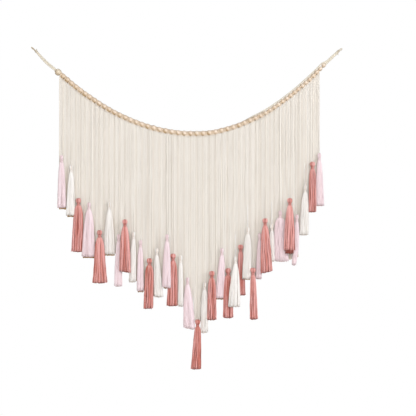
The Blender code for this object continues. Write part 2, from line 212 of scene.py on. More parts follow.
def makeCotton(name):
    look = cottons[name]
    material = bpy.data.materials.new(name)
    material.use_nodes = True
    tree = material.node_tree
    shader = tree.nodes["Principled BSDF"]

    # strandMap has the way round a strand in x and the metres along it in y
    strand = newNode(tree, "ShaderNodeUVMap", {"uv_map": "strandMap"}).outputs[0]
    parts = newNode(tree, "ShaderNodeSeparateXYZ", Vector=strand)
    around, along = parts.outputs[0], parts.outputs[1]
    tone = newNode(tree, "ShaderNodeAttribute", {"attribute_name": "tone"}).outputs["Fac"]
    shade = newNode(tree, "ShaderNodeAttribute", {"attribute_name": "shade"}).outputs["Fac"]

    # the plies wind round the strand as slanting ridges
    turns = mathNode(tree, "MULTIPLY_ADD", around, float(look["plies"]),
                     mathNode(tree, "DIVIDE", along, look["pitch"] * mm))
    ridge = mathNode(tree, "ABSOLUTE", mathNode(tree, "SINE", mathNode(tree, "MULTIPLY", turns, math.pi)))

    # single fibres run with the plies, and soft blotches or streaks go over many strands
    place = newNode(tree, "ShaderNodeTexCoord").outputs["Object"]
    stretch = newNode(tree, "ShaderNodeCombineXYZ", X=mathNode(tree, "MULTIPLY", turns, 3.0),
                      Y=mathNode(tree, "MULTIPLY", along, 120.0), Z=mathNode(tree, "MULTIPLY", tone, 40.0))
    fibre = newNode(tree, "ShaderNodeTexNoise", Vector=stretch.outputs[0], Scale=1.6, Detail=3.0).outputs[0]
    spread = newNode(tree, "ShaderNodeMapping", Vector=place, Scale=look["streaks"])
    blotch = newNode(tree, "ShaderNodeTexNoise", Vector=spread.outputs[0], Scale=1.0, Detail=4.0).outputs[0]

    # the plies' ridges are painted lighter than the grooves between them: painted shade in the grooves
    lightness = mathNode(tree, "ADD", mathNode(tree, "MULTIPLY", tone, 0.55),
                         mathNode(tree, "MULTIPLY", ridge, 0.25))
    lightness = mathNode(tree, "ADD", lightness, mathNode(tree, "MULTIPLY", fibre, 0.25))
    patches = mathNode(tree, "MULTIPLY_ADD", blotch, look["blotch"], -look["blotch"] / 2)
    lightness = mathNode(tree, "ADD", lightness, patches)
    colour = mixColours(tree, lightness, look["dark"], look["light"])
    # painted shade: the shade attribute darkens the strands towards deep in crevices, grooves, shadows and
    # behind other strands
    colour = mixColours(tree, shade, colour, look["deep"])
    tree.links.new(colour, shader.inputs["Base Color"])

    tree.links.new(mathNode(tree, "MULTIPLY_ADD", fibre, 0.12, look["rough"] - 0.06),
                   shader.inputs["Roughness"])
    shader.inputs["Sheen Weight"].default_value = look["sheen"]
    shader.inputs["Sheen Roughness"].default_value = 0.5
    shader.inputs["Specular IOR Level"].default_value = 0.2
    height = mathNode(tree, "ADD", ridge, mathNode(tree, "MULTIPLY", fibre, 0.5))
    relief = newNode(tree, "ShaderNodeBump", Strength=look["bump"], Distance=0.3 * mm, Height=height)
    tree.links.new(relief.outputs[0], shader.inputs["Normal"])
    return material


wood = {
    "light": (0.77, 0.66, 0.575),
    "dark": (0.63, 0.50, 0.375),
    # rim is the painted shade colour: in the bores, on the beads' ends and on their shaded undersides
    "rim": (0.31, 0.18, 0.045),
    "pale": (0.60, 0.53, 0.40),
    "rough": 0.42,
    "coat": 0.12,
}


def makeWood():
    material = bpy.data.materials.new("turned wood")
    material.use_nodes = True
    tree = material.node_tree
    shader = tree.nodes["Principled BSDF"]
    # grainSpace is the place in the block that each bead was turned from
    block = newNode(tree, "ShaderNodeAttribute", {"attribute_name": "grainSpace"}).outputs["Vector"]
    tone = newNode(tree, "ShaderNodeAttribute", {"attribute_name": "tone"}).outputs["Fac"]
    rim = newNode(tree, "ShaderNodeAttribute", {"attribute_name": "rim"}).outputs["Fac"]
    rings = newNode(tree, "ShaderNodeTexWave", {"wave_type": "RINGS", "rings_direction": "Z"}, Vector=block,
                    Scale=130.0, Distortion=5.0, Detail=3.0, Detail_Scale=1.2).outputs[1]
    squeezed = newNode(tree, "ShaderNodeVectorMath", {"operation": "MULTIPLY"})
    tree.links.new(block, squeezed.inputs[0])
    squeezed.inputs[1].default_value = (1.0, 1.0, 0.12)
    pores = newNode(tree, "ShaderNodeTexNoise", Vector=squeezed.outputs[0], Scale=1500.0,
                    Detail=4.0).outputs[0]
    patch = newNode(tree, "ShaderNodeTexNoise", Vector=block, Scale=90.0, Detail=3.0).outputs[0]
    lightness = mathNode(tree, "ADD", mathNode(tree, "MULTIPLY", rings, 0.35),
                         mathNode(tree, "MULTIPLY", pores, 0.35))
    lightness = mathNode(tree, "ADD", lightness, mathNode(tree, "MULTIPLY", tone, 0.4))
    lightness = mathNode(tree, "ADD", lightness, mathNode(tree, "MULTIPLY_ADD", patch, 0.5, -0.25))
    colour = mixColours(tree, lightness, wood["dark"], wood["light"])
    colour = mixColours(tree, mathNode(tree, "SUBTRACT", tone, 1.0), colour, wood["pale"])
    # painted shade: the rim attribute darkens the wood towards the rim colour
    colour = mixColours(tree, rim, colour, wood["rim"])
    tree.links.new(colour, shader.inputs["Base Color"])
    tree.links.new(mathNode(tree, "MULTIPLY_ADD", pores, 0.2, wood["rough"] - 0.1),
                   shader.inputs["Roughness"])
    shader.inputs["Coat Weight"].default_value = wood["coat"]
    shader.inputs["Coat Roughness"].default_value = 0.35
    relief = newNode(tree, "ShaderNodeBump", Strength=0.3, Distance=0.15 * mm,
                     Height=mathNode(tree, "ADD", rings, pores))
    tree.links.new(relief.outputs[0], shader.inputs["Normal"])
    return material


finishes = {name: makeCotton(name) for name in cottons}
finishes["wood"] = makeWood()
print("materials are mixed:", ", ".join(finishes))


def unit(vectors):
    return vectors / np.maximum(np.linalg.norm(vectors, axis=-1, keepdims=True), 1e-9)


def ease(share):
    share = np.clip(share, 0.0, 1.0)
    return share * share * (3.0 - 2.0 * share)


def sideFrames(paths):
    # two directions square to each path, carried along it without twisting
    along = unit(np.gradient(paths, axis=1))
    side = np.empty_like(paths)
    side[:, 0] = unit(np.cross(along[:, 0], (0.31, 0.94, 0.14)))
    for step in range(1, paths.shape[1]):
        carried = side[:, step - 1]
        slip = (carried * along[:, step]).sum(axis=1, keepdims=True)
        side[:, step] = unit(carried - along[:, step] * slip)
    return side, np.cross(along, side)


def sweep(paths, radii, sides, tone=0.5, shade=0.0):
    # tubes along many paths at once: paths is (strands, steps, 3), and radii, tone and shade are one value
    # each or one for each step
    paths = np.asarray(paths, float)
    count, steps = paths.shape[:2]
    radii, tone, shade = (np.broadcast_to(values, (count, steps)) for values in (radii, tone, shade))
    side, other = sideFrames(paths)
    turn = 2.0 * math.pi * np.arange(sides) / sides
    spokes = (np.cos(turn)[:, None] * side[:, :, None] + np.sin(turn)[:, None] * other[:, :, None])
    points = paths[:, :, None] + radii[:, :, None, None] * spokes
    pieces = np.linalg.norm(np.diff(paths, axis=1), axis=2)
    run = np.concatenate([np.zeros((count, 1)), np.cumsum(pieces, axis=1)], axis=1)

    strand, step, edge = np.meshgrid(np.arange(count), np.arange(steps - 1), np.arange(sides),
                                     indexing="ij")
    first = (strand * steps + step) * sides
    after = (edge + 1) % sides
    quads = np.stack([first + edge, first + after, first + sides + after, first + sides + edge], axis=-1)
    here, there = run[strand, step], run[strand, step + 1]
    quadMap = np.stack([
        np.stack([edge, edge + 1, edge + 1, edge], axis=-1) / sides,
        np.stack([here, here, there, there], axis=-1),
    ], axis=-1)

    corner = np.arange(sides)
    base = np.arange(count)[:, None] * steps * sides
    starts = base + corner[::-1]
    ends = base + (steps - 1) * sides + corner
    caps = np.concatenate([starts, ends])
    capMap = np.stack([
        np.concatenate([np.broadcast_to(corner[::-1] / sides, (count, sides)),
                        np.broadcast_to(corner / sides, (count, sides))]),
        np.concatenate([np.zeros((count, sides)), np.broadcast_to(run[:, -1:], (count, sides))]),
    ], axis=-1)
    return {
        "points": points.reshape(-1, 3),
        "quads": quads.reshape(-1, 4), "quadMap": quadMap.reshape(-1, 4, 2),
        "caps": caps, "capMap": capMap,
        "tone": np.repeat(tone.reshape(-1), sides), "shade": np.repeat(shade.reshape(-1), sides),
    }


def addPiece(name, mesh, material, replaced=()):
    mesh.materials.append(material)
    piece = bpy.data.objects.new(name, mesh)
    scene.collection.objects.link(piece)
    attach(piece, "root")
    if replaced:
        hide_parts(*replaced)
    return piece


def strandPiece(name, bunches, finish, replaced=()):
    # one mesh of all the strands in these bunches
    mesh = bpy.data.meshes.new(name)
    corners, starts, maps, smooth = [], [], [], []
    offset = loops = 0
    for bunch in bunches:
        for faces, faceMap, round_ in ((bunch["quads"], bunch["quadMap"], True),
                                       (bunch["caps"], bunch["capMap"], False)):
            corners.append((faces + offset).reshape(-1))
            starts.append(loops + np.arange(len(faces)) * faces.shape[1])
            maps.append(faceMap.reshape(-1, 2))
            smooth.append(np.full(len(faces), round_))
            loops += faces.size
        offset += len(bunch["points"])
    mesh.vertices.add(offset)
    mesh.vertices.foreach_set("co", np.concatenate([b["points"] for b in bunches]).reshape(-1))
    mesh.loops.add(loops)
    mesh.loops.foreach_set("vertex_index", np.concatenate(corners))
    starts = np.concatenate(starts)
    mesh.polygons.add(len(starts))
    mesh.polygons.foreach_set("loop_start", starts)
    mesh.polygons.foreach_set("use_smooth", np.concatenate(smooth))
    mesh.update(calc_edges=True)
    strandMap = mesh.uv_layers.new(name="strandMap")
    strandMap.uv.foreach_set("vector", np.concatenate(maps).reshape(-1))
    for label in ("tone", "shade"):
        values = mesh.attributes.new(label, "FLOAT", "POINT")
        values.data.foreach_set("value", np.concatenate([b[label] for b in bunches]))
    return addPiece(name, mesh, finishes[finish], replaced)


def rope(path, radius, pitch, plies=3, sides=7, tone=0.6, shade=0.0):
    # a laid rope: its plies wind round the path
    path = np.asarray(path, float)[None]
    side, other = sideFrames(path)
    pieces = np.linalg.norm(np.diff(path[0], axis=0), axis=1)
    run = np.concatenate([[0.0], np.cumsum(pieces)])
    plyRadius = radius / (1.0 + 1.0 / math.sin(math.pi / plies))
    spread = radius - plyRadius
    turn = 2.0 * math.pi * (run[None] / pitch + np.arange(plies)[:, None] / plies)
    wound = path + spread * (np.cos(turn)[..., None] * side + np.sin(turn)[..., None] * other)
    tones = tone + dice.normal(0.0, 0.08, (plies, 1))
    return sweep(wound, plyRadius * 1.24, sides, tones, shade)


def smoothPath(points, steps):
    # a smooth curve through points, of the same kind as the frame's
    points = np.asarray(points, float)
    ends = np.concatenate([[2 * points[0] - points[1]], points, [2 * points[-1] - points[-2]]])
    path = []
    for index in range(1, len(ends) - 2):
        before, start, end, after = ends[index - 1:index + 3]
        for t in np.arange(steps) / steps:
            path.append(0.5 * (2 * start + (end - before) * t
                               + (2 * before - 5 * start + 4 * end - after) * t * t
                               + (3 * start - before - 3 * end + after) * t ** 3))
    path.append(points[-1])
    return np.array(path)


def nodePoints(name):
    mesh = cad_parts[name].data
    points = np.empty(len(mesh.vertices) * 3)
    mesh.vertices.foreach_get("co", points)
    return points.reshape(-1, 3)


def cordJoints():
    # the middle of each ring of the frame's cord, which is the place between two beads
    points = nodePoints("bead_cord")
    points = points[np.argsort(points[:, 0])]
    gaps = np.flatnonzero(np.diff(points[:, 0]) > 4 * mm) + 1
    return np.array([group.mean(axis=0) for group in np.split(points, gaps)])


# the cord's line: how far it is above the frame's at these places across, all in millimetres
swag = {
    "across": (-376, -350, 14, 38, 66, 182, 217, 379, 402),
    "lifts": (0.5, 1.2, 1.2, 0.0, -1.0, -1.0, -1.9, -1.9, -1.0),
    # a second cord comes up from behind the beads between these places, and lies on them to the right tie
    "topCordRises": (125, 225),
    "topCordRadius": 1.9,
    "topCordPitch": 11,
    "topCordStart": 3.0,         # behind the first cord
    "topCordOverLast": 5.2,      # above the first cord, past the last bead
    "topCordJoins": (13, 2.2),   # along the right tie and above its middle, where the end is let in
}


def squareUp(path):
    # the upward direction square to a path in the hanging's plane
    along = unit(np.gradient(path, axis=0))
    return np.stack([-along[:, 2], np.zeros(len(path)), along[:, 0]], axis=-1)


joints = cordJoints()
jointUps = squareUp(joints)
joints = joints + jointUps * (np.interp(joints[:, 0] / mm, swag["across"], swag["lifts"]) * mm)[:, None]
beadSteps = np.linalg.norm(np.diff(joints, axis=0), axis=1)
print("the cord has", len(beadSteps), "beads on it")

# the cord in the beads, its two strands past each end, and their knots, loops and free ends
cordLook = {
    "radius": 2.2 * mm,
    "pitch": 13 * mm,
    "strandRadius": 2.35 * mm,
    "strandPitch": 11 * mm,
    "bowApart": 4.2 * mm,
    "endsApart": 3.4 * mm,
    "knotRadius": 2.6 * mm,      # to the middle of the cord that is wound round in the knot
    "knotCord": 1.45 * mm,
    "knotTurns": 2.6,
    "knotLength": 7.4 * mm,
    "knotShade": 0.35,
    "knotPitch": 6 * mm,
    "crossingReach": (3.6 * mm, -2.4 * mm),  # half the turn in front, along the knot and across it
    "crossingStands": 4.0 * mm,
    "loopCord": 1.25 * mm,
    "loopFoot": (1.5 * mm, 1.0 * mm),        # where the end loop leaves the knot, along and across
    "tailRadius": 1.5 * mm,
    "tailForward": 1.6 * mm,
    "laidPitch": 7 * mm,                     # the pitch of the loop's and the tail's twist
    "frayCount": 12,
    "frayLength": 3.0 * mm,
    "frayRadius": 0.22 * mm,
}

# the bow, knot, end loop and free end of each tie, and the loop's half length and half width, all in
# millimetres across and up
ties = {
    "tie_left": {"bow": (-408, -42), "knot": (-436, -12), "loop": (-446, -3), "tail": (-435, -7),
                 "loopSize": (5.2, 1.2), "loopShade": 0.65, "startShade": 0.6},
    "tie_right": {"bow": (418, -30), "knot": (438, -11), "loop": (445, -6), "tail": (436, -20),
                  "loopSize": (4.2, 1.9), "loopShade": 0.25, "startShade": 0.3},
}


def flatPoint(place):
    return np.array([place[0] * mm, 0.0, place[1] * mm])


def makeKnot(centre, along):
    # a few turns of the cord round itself, pulled tight, with one turn across their front
    across = np.array([-along[2], 0.0, along[0]])
    front = np.array([0.0, -1.0, 0.0])
    share = np.linspace(0.0, 1.0, 60)
    angle = 2.0 * math.pi * cordLook["knotTurns"] * share
    bulge = cordLook["knotRadius"] * (0.72 + 0.28 * np.sin(math.pi * share))
    coil = (centre + along * ((share - 0.5) * cordLook["knotLength"])[:, None]
            + (np.cos(angle) * bulge)[:, None] * across + (np.sin(angle) * bulge)[:, None] * front)
    lean = np.linspace(-1.0, 1.0, 30)
    onwards, sideways = cordLook["crossingReach"]
    over = (centre + along * (lean * onwards)[:, None] + across * (lean * sideways)[:, None]
            + front * (cordLook["crossingStands"] * (1.0 - 0.55 * lean ** 2))[:, None])
    thick, pitch, shade = cordLook["knotCord"], cordLook["knotPitch"], cordLook["knotShade"]
    return [rope(coil, thick, pitch, shade=shade), rope(over, thick * 0.9, pitch, shade=shade / 2)]


def makeTie(name):
    tie = ties[name]
    start = joints[0] if name == "tie_left" else joints[-1]
    inner = joints[1] if name == "tie_left" else joints[-2]
    bow, knot, loop, tail = (flatPoint(tie[key]) for key in ("bow", "knot", "loop", "tail"))
    along = unit(knot - start)
    across = np.array([-along[2], 0.0, along[0]])
    root = start + (inner - start) * 0.25          # a little way inside the end bead
    for side, word in ((-0.5, "low"), (0.5, "high")):
        ends = across * cordLook["endsApart"] * side
        middle = across * cordLook["bowApart"] * side
        route = smoothPath([root + ends * 0.6, start + ends, bow + middle, knot + ends * 0.5], 24)
        toKnot = np.linspace(0.0, 1.0, len(route))
        shade = tie["startShade"] * ease((0.3 - toKnot) / 0.25) + 0.25 * ease((toKnot - 0.8) / 0.2)
        laid = rope(route, cordLook["strandRadius"], cordLook["strandPitch"], sides=8, shade=shade)
        strand = strandPiece(f"{name}_{word}", [laid], "cord", (name,) if side < 0 else ())

    knotPiece = strandPiece(f"{name}_knot", makeKnot(knot, along), "cord")

    outwards = unit(loop - knot)
    beside = np.array([-outwards[2], 0.0, outwards[0]])
    angle = np.linspace(-math.pi, math.pi, 48)
    ring = (loop + outwards * (tie["loopSize"][0] * mm * np.cos(angle))[:, None]
            + beside * (tie["loopSize"][1] * mm * np.sin(angle))[:, None])
    footAlong, footAcross = cordLook["loopFoot"]
    ring = np.concatenate([[knot + outwards * footAlong - beside * footAcross], ring[2:-2],
                           [knot + outwards * footAlong + beside * footAcross]])
    laid = rope(ring, cordLook["loopCord"], cordLook["laidPitch"], shade=tie["loopShade"])
    loopPiece = strandPiece(f"{name}_nail_loop", [laid], "cord")

    bend = knot * 0.4 + tail * 0.6 - np.array([0.0, cordLook["tailForward"], 0.0])
    stub = smoothPath([knot, bend, tail], 10)
    onwards = unit(stub[-1] - stub[-3])
    fray = []
    for _ in range(cordLook["frayCount"]):
        sway = dice.normal(0.0, 1.0, 3) * 1.2 * mm
        base = tail - onwards * 1.5 * mm + sway * 0.5
        tip = tail + onwards * cordLook["frayLength"] * dice.uniform(0.3, 0.6) + sway * 1.6
        fray.append(smoothPath([base, base + onwards * 2.2 * mm + sway * 0.5, tip], 4))
    laid = rope(stub, cordLook["tailRadius"], cordLook["laidPitch"])
    tailPiece = strandPiece(f"{name}_tail", [laid, sweep(fray, cordLook["frayRadius"], 5, 0.9)], "cord")


def makeBeadCord():
    path = smoothPath(joints, 8)
    strandPiece("cord_in_beads", [rope(path, cordLook["radius"], cordLook["pitch"], sides=6)], "cord",
                ("bead_cord",))


for tieName in ties:
    makeTie(tieName)
makeBeadCord()
print("ties and cord are laid")


bead = {
    # the beads' size at these places across, in millimetres: they are smaller at the right
    "across": (60, 182, 217),
    "radii": (7.8, 7.2, 6.1),
    "longest": (15.0, 14.0, 12.2),
    "firstRadius": 9.6 * mm,
    "firstLength": 18.4 * mm,
    "apart": 1.0 * mm,           # the least room between two beads
    "endRadius": 3.7 * mm,
    "boreRadius": 2.75 * mm,
    "chamferDepths": (0.1 * mm, 0.9 * mm),   # where it starts and ends, in from the bead's end
    "chamferInside": 0.45 * mm,              # how far its edge is inside the end's rim
    "fullness": 2.25,            # 2 is an ellipse, more is a barrel
    "segments": 28,
    "rings": 15,
    "irregular": 0.03,
    "sizes": (0.97, 1.02),       # chance takes each bead's size, strength of painted shade and tone from these
    "shadeStrengths": (0.6, 1.0),
    "tones": (0.1, 1.3),
    "endShade": 0.6,             # how brown a bead is round its bore
    "underShade": 0.8,           # painted shade on a bead's ends round its bore, where they face its neighbours and on the side that lies in its neighbours' and the strings' shade
    "rightLessShade": 0.3,         # the beads at the right have less of that painted shade
    "rightLessShadeFrom": 28,
    "rightLessShadeOver": 22,
    "underReach": (-0.45, 0.7),
    "underSide": (-0.66, 0.0, -0.75),
    "firstTone": 1.7,
    "firstShadeStrength": 0.45,
    "leftDarker": 1.1,           # the beads at the left are darker
    "leftDarkerTo": 24,
}
beadPlaces = (joints[1:, 0] + joints[:-1, 0]) / 2 / mm
beadRadii = np.interp(beadPlaces, bead["across"], bead["radii"]) * mm
beadLongest = np.interp(beadPlaces, bead["across"], bead["longest"]) * mm
beadLengths = np.minimum(beadSteps - bead["apart"], beadLongest)
beadLengths[0] = bead["firstLength"]


def turnedBead(start, end, length, radius, shadeStrength):
    # a bead turned on the line from start to end, with a chamfered bore
    half = length / 2
    along = unit(end - start)
    across = np.array([-along[2], 0.0, along[0]])
    depth = np.array([0.0, 1.0, 0.0])
    centre = (start + end) / 2
    tuck = 1.0 - (bead["endRadius"] / radius) ** bead["fullness"]
    share = np.sin(np.linspace(-math.pi / 2, math.pi / 2, bead["rings"]))
    outer = radius * (1.0 - np.abs(share) ** bead["fullness"] * tuck) ** (1.0 / bead["fullness"])
    bore, lip = bead["boreRadius"], bead["endRadius"] - bead["chamferInside"]
    shallow, deep = bead["chamferDepths"]
    profile = [(-half * 0.3, bore), (-half + deep, bore), (-half + shallow, lip)]
    profile += list(zip(share * half, outer))
    profile += [(half - shallow, lip), (half - deep, bore), (half * 0.3, bore)]
    profile = np.array(profile)
    # painted shade: the bore is dark, and each end darkens towards it where it faces the neighbouring bead
    rim = np.ones(len(profile))
    rim[3:-3] = bead["endShade"] * shadeStrength * ease((np.abs(share) - 0.62) / 0.38)
    turn = 2.0 * math.pi * np.arange(bead["segments"]) / bead["segments"]
    wobble = 1.0 + bead["irregular"] * dice.normal() * np.cos(turn - dice.uniform(0, 6.3))
    local = np.stack([
        np.broadcast_to(profile[:, :1], (len(profile), len(turn))),
        profile[:, 1:] * np.cos(turn) * wobble,
        profile[:, 1:] * np.sin(turn) * wobble,
    ], axis=-1)
    points = centre + local[..., :1] * along + local[..., 1:2] * across + local[..., 2:] * depth
    low, high = bead["underReach"]
    facing = (((points - centre) / radius) @ np.array(bead["underSide"]) - low) / (high - low)
    # and painted shade on the side that faces down and left, away from the light
    paintedShade = 1.0 - (1.0 - rim[:, None]) * (1.0 - bead["underShade"] * shadeStrength * ease(facing))
    spin = dice.normal(size=(3, 3))
    spin, _ = np.linalg.qr(spin)
    grain = local @ spin + dice.uniform(-0.2, 0.2, 3)
    return points, grain, paintedShade


def makeBeads():
    points, grains, rims, tones, faces = [], [], [], [], []
    for index, length in enumerate(beadLengths):
        radius = bead["firstRadius"] if index == 0 else beadRadii[index] * dice.uniform(*bead["sizes"])
        shadeStrength = bead["firstShadeStrength"] if index == 0 else dice.uniform(*bead["shadeStrengths"])
        # the beads at the right get less painted shade
        lessShade = ease((index - bead["rightLessShadeFrom"]) / bead["rightLessShadeOver"])
        shadeStrength *= 1.0 - bead["rightLessShade"] * lessShade
        ring, grain, rim = turnedBead(joints[index], joints[index + 1], length, radius, shadeStrength)
        rows, columns = ring.shape[:2]
        base = len(points) * rows * columns
        row, column = np.meshgrid(np.arange(rows), np.arange(columns), indexing="ij")
        nextRow, nextColumn = (row + 1) % rows, (column + 1) % columns
        faces.append(base + np.stack([
            row * columns + column, row * columns + nextColumn,
            nextRow * columns + nextColumn, nextRow * columns + column], axis=-1).reshape(-1, 4))
        points.append(ring.reshape(-1, 3))
        grains.append(grain.reshape(-1, 3))
        rims.append(rim.reshape(-1))
        tone = dice.uniform(*bead["tones"])
        tone -= bead["leftDarker"] * max(1.0 - index / bead["leftDarkerTo"], 0.0)
        tones.append(np.full(rows * columns, bead["firstTone"] if index == 0 else tone))
    mesh = bpy.data.meshes.new("beads")
    mesh.from_pydata(np.concatenate(points), [], np.concatenate(faces)[:, ::-1])
    mesh.shade_smooth()
    values = mesh.attributes.new("grainSpace", "FLOAT_VECTOR", "POINT")
    values.data.foreach_set("vector", np.concatenate(grains).reshape(-1))
    for label, listed in (("tone", tones), ("rim", rims)):
        values = mesh.attributes.new(label, "FLOAT", "POINT")
        values.data.foreach_set("value", np.concatenate(listed))
    return addPiece("beads", mesh, finishes["wood"], ("bead_row",))


def makeTopCord():
    low, high = swag["topCordRises"]
    radius = swag["topCordRadius"] * mm
    shown = np.flatnonzero(beadPlaces > low)
    middles = (joints[shown] + joints[shown + 1]) / 2
    reach = (beadRadii[shown] + radius)[:, None]
    angle = math.pi / 2 * (1.0 - ease((beadPlaces[shown] - low) / (high - low)))[:, None]
    behind = np.array([0.0, 1.0, 0.0])
    line = middles + jointUps[shown] * reach * np.cos(angle) + behind * reach * np.sin(angle)
    start = joints[shown[0]] + behind * swag["topCordStart"] * mm
    towardsTie = unit(flatPoint(ties["tie_right"]["knot"]) - joints[-1])
    onwards, above = swag["topCordJoins"]
    overLast = joints[-1] + jointUps[-1] * swag["topCordOverLast"] * mm
    end = joints[-1] + towardsTie * onwards * mm + jointUps[-1] * above * mm
    path = smoothPath([start, *line, overLast, end], 7)
    wound = rope(path, radius, swag["topCordPitch"] * mm, sides=7, tone=0.75, shade=0.05)
    strandPiece("cord_on_beads", [wound], "cord")


makeBeads()
makeTopCord()
print("beads are turned")


# the yarn of each tassel from left to right: rose, blush or white
yarnOrder = "BWRBRWBRWBRWBRWBRWRBRWRWRBRWBRBWRB"
yarnNames = {"R": "rose", "B": "blush", "W": "white"}

tassel = {
    "threadLength": 60 * mm,     # above the head's top
    "threadRadius": 0.5 * mm,
    "threadHugs": 0.66,          # the share that lies on the strings
    "threadPitch": 7 * mm,
    "threadBehind": 1.2 * mm,    # how far it lies behind the frame's thread
    "threadDives": 2.6 * mm,     # and how much further back its upper end goes
    # thicker threads, in plain sight
    "whiteThreads": ("tassel_22", "tassel_24", "tassel_28", "tassel_32"),
    "whiteThreadRadius": 1.25 * mm,
    "coiledThread": "tassel_31",     # and one that is wound as a spring
    "coils": 9,
    "coilReach": 1.0 * mm,
    "coilThread": 0.85 * mm,
    # the head's outline: millimetres below its top, and from there to the yarn's middle
    "headDepths": (0.3, 0.5, 1.6, 3.6, 6.4, 9.4, 12.4, 14.8, 17.0, 19.0),
    "headRadii": {
        "rose": (1.1, 3.1, 5.2, 6.4, 6.8, 6.6, 5.5, 4.2, 3.8, 4.0),
        "blush": (0.9, 2.3, 3.6, 4.3, 4.6, 4.5, 4.0, 3.4, 3.1, 3.3),
        "white": (0.9, 2.2, 3.4, 4.1, 4.4, 4.4, 3.9, 3.3, 3.0, 3.2),
    },
    "creaseDepth": 0.16,
    "creaseShade": 0.55,
    "creaseWidth": 0.34,
    "skirtShares": (0.03, 0.07, 0.13, 0.21, 0.32, 0.44, 0.57, 0.7, 0.83, 0.93, 1.0),
    "neckDepth": 19.0 * mm,
    "fill": 2.0,                 # above 1, the skirt fills out early and then hangs straight
    "fills": {"tassel_05": 1.0, "tassel_17": 1.0, "tassel_25": 1.2, "tassel_32": 3.0},
    # the share of its width that a skirt takes at once below the neck
    "bursts": {"rose": 0.6, "blush": 0.38, "white": 0.3},
    "ownBursts": {"tassel_03": 0.75, "tassel_05": 0.42, "tassel_06": 0.2, "tassel_08": 0.4,
                  "tassel_11": 0.85, "tassel_12": 0.2, "tassel_16": 0.2, "tassel_17": 0.5,
                  "tassel_18": 0.6, "tassel_19": 0.7, "tassel_20": 0.25, "tassel_22": 0.15,
                  "tassel_24": 0.6, "tassel_25": 0.5, "tassel_27": 0.35, "tassel_29": 0.8,
                  "tassel_30": 0.28, "tassel_33": 0.9},
    "burstSharpness": 12,
    "hemNarrows": {"tassel_31": 0.4},            # a hem that is pinched together again
    "hemShifts": {"tassel_31": -4 * mm},
    "shorter": {"tassel_30": 9 * mm},            # the outer yarns end this far above the inner ones
    "hemSpread": 0.05,
    "slants": {"tassel_08": 2.5 * mm, "tassel_13": 2 * mm, "tassel_16": 3 * mm, "tassel_27": -3 * mm},
    "sway": 1.3,
    "halfDepth": 7.2 * mm,
    "yarnRadius": 0.98 * mm,
    "yarnApart": 1.62 * mm,
    "clumpSizes": {"rose": (2, 6), "blush": (2, 8), "white": (2, 8)},
    "clumpPulls": {"rose": 0.3, "blush": 0.15, "white": 0.15},
    "clumpTucks": {"rose": 0.24, "blush": 0.09, "white": 0.09},
    "clumpShades": {"rose": 0.5, "blush": 0.1, "white": 0.08},
    "bunchTones": {"rose": 0.34, "blush": 0.25, "white": 0.2},
    "yarnTones": {"rose": 0.2, "blush": 0.12, "white": 0.12},
    "wander": 0.45 * mm,
    "bunchWander": {"rose": 1.5 * mm, "blush": 0.7 * mm, "white": 0.7 * mm},     # whole bunches sway so far
    "uneven": 0.9 * mm,
    "insideLonger": 2.2 * mm,
    "neckShades": {"rose": 0.4, "blush": 0.15, "white": 0.12},
    "wrapTurns": 5,
    "wrapDepths": (15.2 * mm, 19.0 * mm),        # the neck's binding, below the head's top
    "wrapOut": 0.65 * mm,
    "wrapYarn": 0.5 * mm,
    "coreDepths": (1.5, 4, 9, 13, 19),           # the filling inside the head, in millimetres
    "sides": 6,
}


def ringAt(points, height):
    ring = points[np.abs(points[:, 2] - height) < 0.1 * mm]
    low, high = ring.min(axis=0), ring.max(axis=0)
    return (low + high) / 2, (high - low) / 2


def planOf(name, yarn):
    # where a tassel's thread, head and hem are in the frame
    points = nodePoints(name)
    threadTop, hem = points[:, 2].max(), points[:, 2].min()
    top = threadTop - tassel["threadLength"]
    head, _ = ringAt(points, top)
    start, _ = ringAt(points, threadTop)
    foot, footHalf = ringAt(points, hem)
    return {"name": name, "yarn": yarn, "top": top, "hem": hem, "head": head, "foot": foot,
            "threadY": start[1], "half": footHalf[0], "fill": tassel["fills"].get(name, tassel["fill"]),
            "burst": tassel["ownBursts"].get(name, tassel["bursts"][yarn]),
            "neck": tassel["headRadii"][yarn][-1] * mm}


def skirtAt(plan, share):
    # the skirt's middle across and its half width, from 0 at the neck to 1 at the hem
    middle = plan["head"][0] + (plan["foot"][0] - plan["head"][0]) * share ** tassel["sway"]
    burst = plan["burst"] * (1.0 - (1.0 - share) ** tassel["burstSharpness"])
    flare = burst + (1.0 - plan["burst"]) * (1.0 - (1.0 - share) ** plan["fill"])
    return middle, plan["neck"] + (plan["half"] - plan["neck"]) * flare, flare


def clumpsOf(count, sizes):
    # neighbouring yarns in bunches: each one's bunch middle, how far out in the bunch it lies, its bunch
    middles, edges, bunch = np.empty(count), np.empty(count), np.empty(count, int)
    index = number = 0
    while index < count:
        size = min(int(dice.integers(*sizes, endpoint=True)), count - index)
        place = np.arange(size)
        middles[index:index + size] = index + (size - 1) / 2
        edges[index:index + size] = np.abs(place - (size - 1) / 2) / max((size - 1) / 2, 1)
        bunch[index:index + size] = number
        index += size
        number += 1
    return middles, edges, bunch


def ellipseAngles(halfWidth, halfDepth, shares):
    # angles that divide an ellipse's rim evenly
    fine = np.linspace(0.0, 2.0 * math.pi, 361)
    rim = np.stack([halfWidth * np.cos(fine), halfDepth * np.sin(fine)], axis=-1)
    run = np.concatenate([[0.0], np.cumsum(np.linalg.norm(np.diff(rim, axis=0), axis=1))])
    whole = np.floor(shares)
    return np.interp((shares - whole) * run[-1], run, fine) + whole * 2.0 * math.pi


